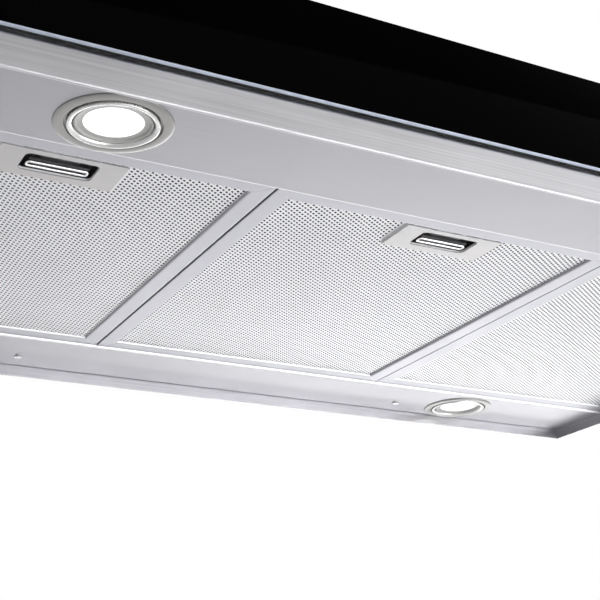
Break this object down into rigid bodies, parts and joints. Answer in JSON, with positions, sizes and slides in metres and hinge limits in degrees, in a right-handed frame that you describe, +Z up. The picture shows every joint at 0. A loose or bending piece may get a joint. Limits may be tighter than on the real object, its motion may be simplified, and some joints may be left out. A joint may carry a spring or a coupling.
{
  "type": "under cabinet range hood",
  "caption": "Wide under cabinet range hood: stainless canopy with a black glass front, tilting mesh grease filters with spring latches, downlights, blower and round duct collar.",
  "frame": {"origin": "centre of the four cabinet screws, on the top face", "axes": "+X to the right seen from the front, +Y to the wall, +Z up"},
  "size_m": [0.9, 0.5369, 0.225],
  "materials": {
    "canopy_steel": "horizontal brushed, satin",
    "strip_steel": "fine satin",
    "front_glass": "polished, opaque black",
    "glass_tape": "foam tape",
    "circuit_board": "solder mask",
    "lamp_bezel": "satin spun",
    "lamp_lens": "frosted diffuser",
    "lamp_can": "die cast",
    "filter_frame": "satin rolled",
    "filter_mesh": "expanded, bright",
    "filter_core": "layered knitted mesh",
    "handle_plate": "satin",
    "latch_chrome": "polished",
    "latch_steel": "bright zinc",
    "blower_sheet": "galvanised",
    "wheel_plastic": "moulded",
    "motor_shell": "satin lacquer",
    "shaft_steel": "ground",
    "collar_sheet": "galvanised",
    "damper_sheet": "rolled",
    "box_sheet": "galvanised",
    "capacitor_can": "drawn",
    "gland_nylon": "moulded nylon",
    "screw_steel": "bright zinc"
  },
  "bodies": {
    "hood": {"canopy_wrapper": "canopy_steel", "left_end_panel": "canopy_steel", "right_end_panel": "canopy_steel", "back_panel": "canopy_steel", "front_lamp_strip": "strip_steel", "rear_lamp_strip": "strip_steel", "glass_panel": "front_glass", "glass_tape": "glass_tape", "touch_board": "circuit_board", "control_board": "circuit_board", "front_left_lamp_bezel": "lamp_bezel", "front_left_lamp_lens": "lamp_lens", "front_left_lamp_can": "lamp_can", "front_right_lamp_bezel": "lamp_bezel", "front_right_lamp_lens": "lamp_lens", "front_right_lamp_can": "lamp_can", "rear_left_lamp_bezel": "lamp_bezel", "rear_left_lamp_lens": "lamp_lens", "rear_left_lamp_can": "lamp_can", "rear_right_lamp_bezel": "lamp_bezel", "rear_right_lamp_lens": "lamp_lens", "rear_right_lamp_can": "lamp_can", "blower_housing": "blower_sheet", "motor_bracket": "blower_sheet", "motor": "motor_shell", "damper_pin": "shaft_steel", "duct_collar": "collar_sheet", "power_box": "box_sheet", "power_box_lid": "box_sheet", "capacitor": "capacitor_can", "cable_gland": "gland_nylon", "sheet_screws": "screw_steel"},
    "left_filter": {"left_filter_frame": "filter_frame", "left_face_mesh": "filter_mesh", "left_filter_core": "filter_core", "left_back_mesh": "filter_mesh", "left_handle_plate": "handle_plate", "left_latch_spring": "latch_steel"},
    "left_latch": {"left_latch_pull": "latch_chrome", "left_latch_tongue": "latch_steel"},
    "middle_filter": {"middle_filter_frame": "filter_frame", "middle_face_mesh": "filter_mesh", "middle_filter_core": "filter_core", "middle_back_mesh": "filter_mesh", "middle_handle_plate": "handle_plate", "middle_latch_spring": "latch_steel"},
    "middle_latch": {"middle_latch_pull": "latch_chrome", "middle_latch_tongue": "latch_steel"},
    "right_filter": {"right_filter_frame": "filter_frame", "right_face_mesh": "filter_mesh", "right_filter_core": "filter_core", "right_back_mesh": "filter_mesh", "right_handle_plate": "handle_plate", "right_latch_spring": "latch_steel"},
    "right_latch": {"right_latch_pull": "latch_chrome", "right_latch_tongue": "latch_steel"},
    "blower_rotor": {"impeller": "wheel_plastic", "motor_shaft": "shaft_steel"},
    "front_damper": {"damper_front": "damper_sheet"},
    "rear_damper": {"damper_rear": "damper_sheet"}
  },
  "joints": [
    {"name": "left_filter_tilt", "type": "hinge", "parent": "hood", "child": "left_filter", "pos_m": [-0.2984, 0.0698, -0.1675], "axis": [1, 0, 0], "range_deg": [0, 75]},
    {"name": "left_latch_slide", "type": "slide", "parent": "left_filter", "child": "left_latch", "axis": [0, 1, 0], "range_m": [0, 0.004], "stiffness_N_per_m": 400, "springref_m": -0.002, "deforming": ["left_latch_spring"]},
    {"name": "middle_filter_tilt", "type": "hinge", "parent": "hood", "child": "middle_filter", "pos_m": [0.0002, 0.0698, -0.1675], "axis": [1, 0, 0], "range_deg": [0, 75]},
    {"name": "middle_latch_slide", "type": "slide", "parent": "middle_filter", "child": "middle_latch", "axis": [0, 1, 0], "range_m": [0, 0.004], "stiffness_N_per_m": 400, "springref_m": -0.002, "deforming": ["middle_latch_spring"]},
    {"name": "right_filter_tilt", "type": "hinge", "parent": "hood", "child": "right_filter", "pos_m": [0.2979, 0.0698, -0.1675], "axis": [1, 0, 0], "range_deg": [0, 75]},
    {"name": "right_latch_slide", "type": "slide", "parent": "right_filter", "child": "right_latch", "axis": [0, 1, 0], "range_m": [0, 0.004], "stiffness_N_per_m": 400, "springref_m": -0.002, "deforming": ["right_latch_spring"]},
    {"name": "rotor_spin", "type": "hinge", "parent": "hood", "child": "blower_rotor", "pos_m": [0, 0.01, -0.086], "axis": [1, 0, 0], "continuous": true},
    {"name": "rear_damper_lift", "type": "hinge", "parent": "hood", "child": "rear_damper", "pos_m": [0, 0.055, 0.015], "axis": [1, 0, 0], "range_deg": [0, 75]},
    {"name": "front_damper_lift", "type": "hinge", "parent": "hood", "child": "front_damper", "pos_m": [0, 0.055, 0.015], "axis": [1, 0, 0], "range_deg": [-75, 0]}
  ],
  "couplings": [
    {"joint": "front_damper_lift", "follows": "rear_damper_lift", "ratio": -1}
  ]
}
